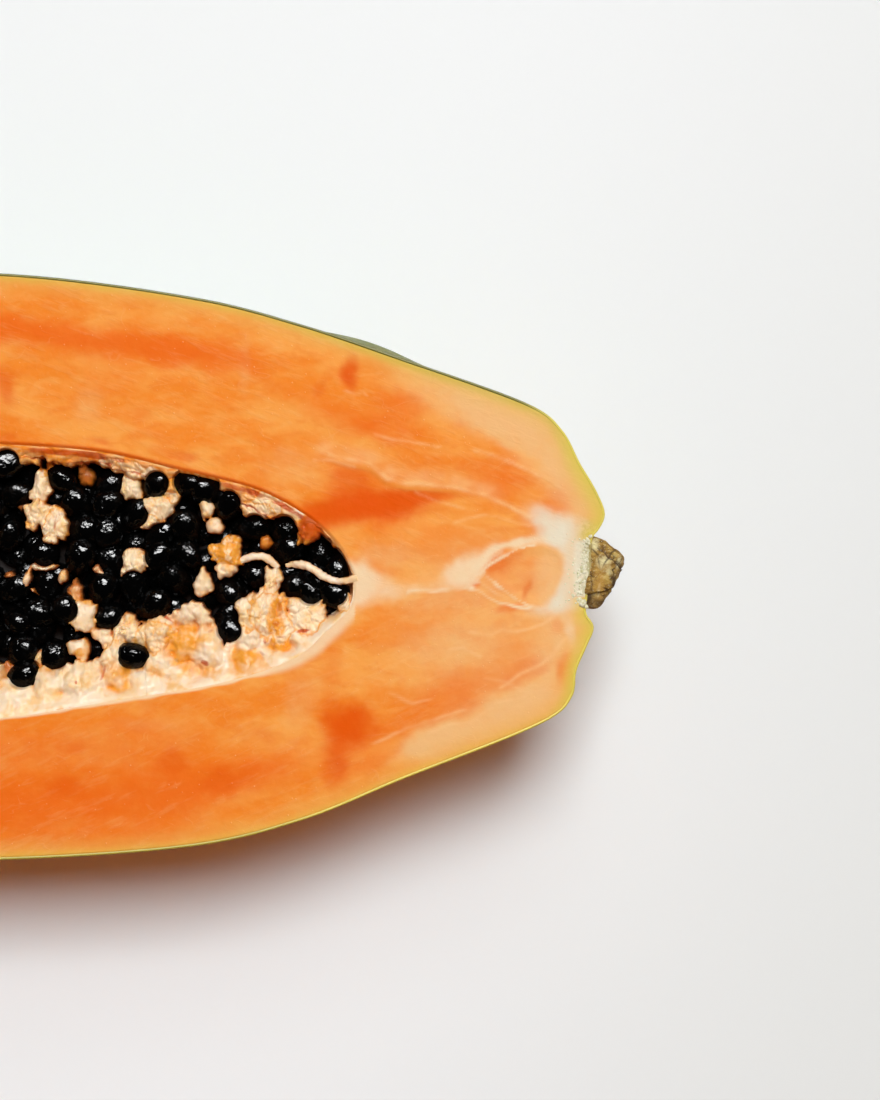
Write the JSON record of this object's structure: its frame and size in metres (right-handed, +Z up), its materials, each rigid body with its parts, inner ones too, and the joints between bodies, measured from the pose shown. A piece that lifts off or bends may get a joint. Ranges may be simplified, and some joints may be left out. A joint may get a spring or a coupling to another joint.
{
  "type": "papaya half",
  "caption": "Half a papaya cut lengthwise, lying cut face up, with a seed hollow, pale lining, dark seeds and a woody stem stub.",
  "frame": {"origin": "middle of the bounding box, on the flat spot that the fruit lies on", "axes": "+X along the fruit towards the stem, +Y across the cut face, +Z up out of the cut face"},
  "size_m": [0.252, 0.1182, 0.0563],
  "materials": {
    "flesh": "moist satin cut surface with a thin green and yellow peel outside",
    "pith": "soft, granular and matt",
    "seeds": "wet, wrinkled and glossy",
    "stem": "dry, rough and cut through"
  },
  "bodies": {
    "root": {"flesh": "flesh", "pith": "pith", "seeds": "seeds", "stem": "stem"}
  },
  "joints": []
}
